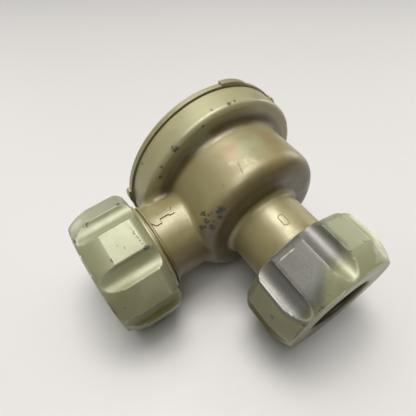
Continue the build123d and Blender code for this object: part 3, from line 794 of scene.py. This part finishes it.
def body_paint():
    look = Look("body_paint")
    place = look.port(INLET)
    jagged = look.ragged(place, 1.3, 2.4)
    colour = body_tint_shade_and_dirt(look, paint_base(look, *BODY_TONES), place)
    # Painted shade, darker and more olive towards the table
    colour = lower_shade(look, colour, 0.22)
    colour = body_stains(look, colour, place)
    # Pale rubs on the neck, partly a painted glint
    rubbed = look.times(look.marks(jagged, BODY_RUBS_AND_GLINTS, 0.8), look.patches(500, 0.3, 0.7))
    colour = look.over(colour, RUB_AND_GLINT_CREAM, rubbed, 0.35)
    chips = body_chips(look, place, jagged)
    colour = look.over(colour, chip_colour(look), chips, 0.9)
    gloss = look.ramp(look.noise(110, 5, 0.65), 0.35, 0.65, 0.30, 0.50)
    return finish_paint(look, colour, gloss, chips)


def nut_stains_shade_and_highlights(look, colour, place, marks):
    uneven = look.ragged(place, 0.2, 7.0)
    # Olive stains, partly painted shade
    colour = look.over(colour, OLIVE_STAIN_AND_SHADE, look.marks(uneven, marks["stains"], 0.6), 0.6)
    # Cream scuffs, partly a painted highlight on the domes
    colour = look.over(colour, SCUFF_AND_HIGHLIGHT_CREAM, look.marks(uneven, marks["scuffs_and_highlights"], 0.5), 0.6)
    # Painted shade, darker and more olive towards the table
    return lower_shade(look, colour, 0.85)


def ragged_bare(look):
    """The mesh's bare share with an uneven outline."""
    rubbed = look.attribute("bare")
    uneven = look.times(look.math("SUBTRACT", look.noise(140, 6, 0.7), 0.5), 0.9)
    bare = look.ramp(look.math("ADD", rubbed, uneven), 0.15, 0.85)
    return look.times(bare, look.ramp(rubbed, 0.0, 0.2))


def bare_steel(look, edge):
    """Grainy steel, stained where the rubbing fades out, with a painted highlight along the edges."""
    steel = look.mix(look.patches(1900, 0.35, 0.65, 3, 0.8), STEEL_LIGHT, STEEL_DARK)
    steel = look.mix(look.ramp(look.attribute("bare"), 0.95, 0.4), steel, STEEL_STAINED)
    # Painted highlight along the edges
    edge_highlight = look.ramp(look.noise(330, 4), 0.35, 0.6, 0.15, 0.7)
    return look.over(steel, STEEL_EDGE_HIGHLIGHT, edge, edge, edge_highlight)


def nut_chips(look, edge, jagged, marks):
    """Placed chips, and nicks along the worn edges."""
    chips = look.times(look.marks(jagged, marks["chips"]), look.patches(1300, 0.42, 0.50, 4, 0.8))
    nicks = look.times(edge, look.patches(130, 0.50, 0.62, 2), look.patches(900, 0.54, 0.60, 4, 0.7))
    return look.math("MAXIMUM", chips, nicks)


def nut_paint(name, matrix, marks):
    """Paler paint of a union nut, worn on its edges with a painted highlight along them, and down to
    steel where the mesh is bare.
    """
    look = Look(name)
    place = look.port(matrix)
    jagged = look.ragged(place, 1.4, 2.0)
    edge = look.attribute("edge")
    bare = ragged_bare(look)
    colour = nut_stains_shade_and_highlights(look, paint_base(look, *NUT_TONES), place, marks)
    # Painted highlight: paler cream along the edges and the back fold
    colour = look.over(colour, NUT_EDGE_HIGHLIGHT, edge, look.patches(420, 0.40, 0.60, 4, 0.6), 0.35)
    colour = look.over(colour, bare_steel(look, edge), bare)
    chips = nut_chips(look, edge, jagged, marks)
    colour = look.over(colour, chip_colour(look), chips, 0.85)
    rubs = look.times(look.marks(place, marks["rubs"]), look.patches(1100, 0.40, 0.52, 4, 0.8))
    colour = look.over(colour, RUB_GREY, rubs, 0.7)
    colour = look.over(colour, PRIMER_RED, look.marks(jagged, PRIMER_SPOT), bare)
    colour = look.over(colour, BORE_BROWN, look.attribute("inside"), 0.75)
    gloss = look.ramp(look.noise(140, 4), 0.3, 0.7, 0.34, 0.44)
    gloss = look.math("ADD", gloss, look.times(bare, 0.08))
    metallic = look.math("ADD", PAINT_METALLIC, look.times(bare, 0.2))
    look.bump(look.times(bare, look.noise(1500, 4, 0.75)), 0.12, 0.0001)
    return finish_paint(look, colour, gloss, chips, metallic)


def cover_paint():
    look = Look("cover_paint")
    edge = look.edges(0.0006)
    chips = look.times(edge, look.patches(600, 0.58, 0.64, 4, 0.7))
    # Painted highlight: paler cream along the edges
    colour = look.over(paint_base(look, *COVER_TONES), COVER_EDGE_HIGHLIGHT, edge, 0.25)
    colour = look.over(colour, chip_colour(look), chips, 0.85)
    gloss = look.ramp(look.noise(140, 4), 0.3, 0.7, 0.38, 0.48)
    return finish_paint(look, colour, gloss, chips)


def metal(name, main, shade, rough):
    look = Look(name)
    fine = look.noise(METAL_GRAIN, 4, 0.7)
    colour = look.mix(look.patches(120, 0.35, 0.7, 4), main, shade)
    colour = look.mix(look.ramp(fine, 0.45, 0.75, 0.0, 0.35), colour, shade)
    colour = look.over(colour, METAL_EDGE, look.edges(0.0003), look.patches(400, 0.40, 0.60), 0.5)
    roughness = look.ramp(fine, 0.3, 0.7, rough - 0.06, rough + 0.1)
    look.set(Base_Color=colour, Metallic=1.0, Roughness=roughness)
    look.bump(fine, 0.12, 0.00008)
    return look.material


def soft_part(name, main, shade, low_rough, high_rough, grain):
    look = Look(name)
    fine = look.noise(grain, 4, 0.7)
    colour = look.mix(look.patches(150, 0.4, 0.7), main, shade)
    colour = look.mix(look.ramp(look.noise(500), 0.55, 0.72, 0.0, 0.25), colour, DUST)
    look.set(Base_Color=colour, Roughness=look.ramp(fine, 0.3, 0.7, low_rough, high_rough))
    look.bump(fine, 0.2, 0.0001)
    return look.material


BODY_PAINT = body_paint()
COVER_PAINT = cover_paint()
INLET_NUT_PAINT = nut_paint("inlet_nut_paint", INLET, INLET_NUT_MARKS)
OUTLET_NUT_PAINT = nut_paint("outlet_nut_paint", OUTLET, OUTLET_NUT_MARKS)
# Dark dirt and painted shade for the arrow's sides and the band round it
GRIME_AND_SHADE_LINE = soft_part("grime_and_shade", linear(64, 55, 36), linear(44, 38, 26), 0.6, 0.8, 1200)
ZINC = metal("zinc_steel", linear(172, 171, 162), linear(138, 136, 126), 0.36)
RUBBER = soft_part("black_rubber", linear(30, 29, 27), linear(46, 44, 40), 0.62, 0.82, 1800)
PLASTIC = soft_part("clear_plastic", linear(214, 212, 200), linear(196, 194, 180), 0.42, 0.58, 900)
BRASS = metal("brass", linear(196, 164, 96), linear(160, 128, 70), 0.32)
STAINLESS = metal("stainless", linear(190, 189, 184), linear(150, 149, 144), 0.28)
SPRING_STEEL = metal("spring_steel", linear(96, 96, 98), linear(66, 66, 70), 0.35)
BY_SLOT = {
    "body_paint": BODY_PAINT,
    "nut_paint": COVER_PAINT,
    "black_rubber": RUBBER,
    "clear_plastic": PLASTIC,
    "brass": BRASS,
    "zinc_steel": ZINC,
    "stainless": STAINLESS,
    "spring_steel": SPRING_STEEL,
}


def dress_nodes():
    """Give every CAD node the finish of its slot."""
    for entry in RECORD["subparts"]:
        chosen = COVER_PAINT if entry["node"] == "cover" else BY_SLOT[entry["material_slot"]]
        materials = NODES[entry["node"]].data.materials
        materials.clear()
        materials.append(chosen)


# ---------------------------------------------------------------- pieces

def add_piece(piece, body, materials, replaced=None):
    piece.data.materials.clear()
    for material in materials:
        piece.data.materials.append(material)
    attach(piece, body)
    if replaced:
        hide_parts(replaced)


def add_nuts():
    inlet = nut_mesh("inlet_nut_cast", INLET, INLET_NUT_BACK, INLET_NUT_TURN, True)
    add_piece(inlet, "inlet_nut", [INLET_NUT_PAINT], "inlet_nut")
    outlet = nut_mesh("outlet_nut_cast", OUTLET, OUTLET_NUT_BACK, OUTLET_NUT_TURN, False)
    add_piece(outlet, "outlet_nut", [OUTLET_NUT_PAINT], "outlet_nut")


def add_screw():
    screw = screw_mesh("adjusting_screw_threaded")
    weld(screw)
    cut_slot(screw)
    add_piece(screw, "adjusting_screw", [ZINC], "adjusting_screw")


def add_marks():
    """Plain flow arrow on the outlet tube, and a plain oblong ring on the inlet tube."""
    other_side = tuple((-across, height) for across, height in reversed(ARROW_SIDE))
    outline = [*ARROW_SIDE, (0, ARROW_TIP), *other_side, (0, ARROW_NOTCH)]
    arrow = raised_shape("flow_arrow", OUTLET, ARROW_TURN, outline, MARK_RISE)
    bevel = arrow.modifiers.new("soft_edge", "BEVEL")
    bevel.width = MARK_BEVEL * MM
    bevel.segments = 2
    # The arrow's sides, and the dark band round it, are dirt and painted shade
    add_piece(arrow, "housing", [BODY_PAINT, GRIME_AND_SHADE_LINE])
    wider = grown_outline(outline, DIRT_AND_SHADE_MARGIN)
    dirt = raised_shape("flow_arrow_dirt_and_shade", OUTLET, ARROW_TURN, wider, DIRT_AND_SHADE_RISE)
    add_piece(dirt, "housing", [GRIME_AND_SHADE_LINE])
    add_piece(raised_ring("plain_ring", INLET), "housing", [BODY_PAINT])


# ---------------------------------------------------------------- stage

def add_floor():
    look = Look("pale_table")
    tone = look.mix(look.patches(2.2, 0.3, 0.7), TABLE_LIGHT, TABLE_SHADE)
    specks = look.times(look.ramp(look.cells(60), 0.05, 0.02), look.patches(14, 0.60, 0.66, 2))
    tone = look.over(tone, TABLE_SPECK, specks, 0.35)
    look.set(Base_Color=tone, Roughness=look.ramp(look.noise(300), 0.3, 0.7, 0.55, 0.65))
    corners = [(x * TABLE_REACH, y * TABLE_REACH, 0) for x, y in ((-1, -1), (1, -1), (1, 1), (-1, 1))]
    mesh = bpy.data.meshes.new("table")
    mesh.from_pydata(corners, [], [(0, 1, 2, 3)])
    mesh.materials.append(look.material)
    floor = bpy.data.objects.new("table", mesh)
    bpy.context.scene.collection.objects.link(floor)


def add_light(name, azimuth, height, power):
    """Soft round light aimed at the object, placed by azimuth and height in degrees."""
    data = bpy.data.lights.new(name, "AREA")
    data.shape = "DISK"
    data.size = LIGHT_SIZE
    data.energy = power
    up = math.radians(height)
    away = about_axis(azimuth, math.cos(up), math.sin(up))
    lamp = bpy.data.objects.new(name, data)
    bpy.context.scene.collection.objects.link(lamp)
    lamp.location = away * LIGHT_DISTANCE
    lamp.rotation_euler = (-away).to_track_quat("-Z", "Y").to_euler()


def add_world():
    world = bpy.data.worlds.new("studio")
    bpy.context.scene.world = world
    world.use_nodes = True
    background = world.node_tree.nodes["Background"]
    background.inputs["Color"].default_value = WORLD_COLOUR
    background.inputs["Strength"].default_value = WORLD_STRENGTH


def add_camera():
    """Camera placed and turned in the inlet port's frame."""
    data = bpy.data.cameras.new("camera")
    data.sensor_width = SENSOR_WIDTH
    data.lens = data.sensor_width * FOCAL_RATIO
    data.clip_start = CLIP_START
    camera = bpy.data.objects.new("camera", data)
    bpy.context.scene.collection.objects.link(camera)
    axes = INLET.to_3x3().normalized()
    right = (axes @ CAMERA_RIGHT).normalized()
    up = axes @ CAMERA_UP
    up = (up - right * up.dot(right)).normalized()
    turn = Matrix((right, up, right.cross(up))).transposed().to_4x4()
    camera.matrix_world = Matrix.Translation(INLET @ CAMERA_PLACE) @ turn
    bpy.context.scene.camera = camera


dress_nodes()
add_nuts()
add_screw()
add_marks()
add_floor()
add_world()
for light in LIGHTS:
    add_light(*light)
add_camera()
bpy.context.scene.view_settings.view_transform = "Standard"
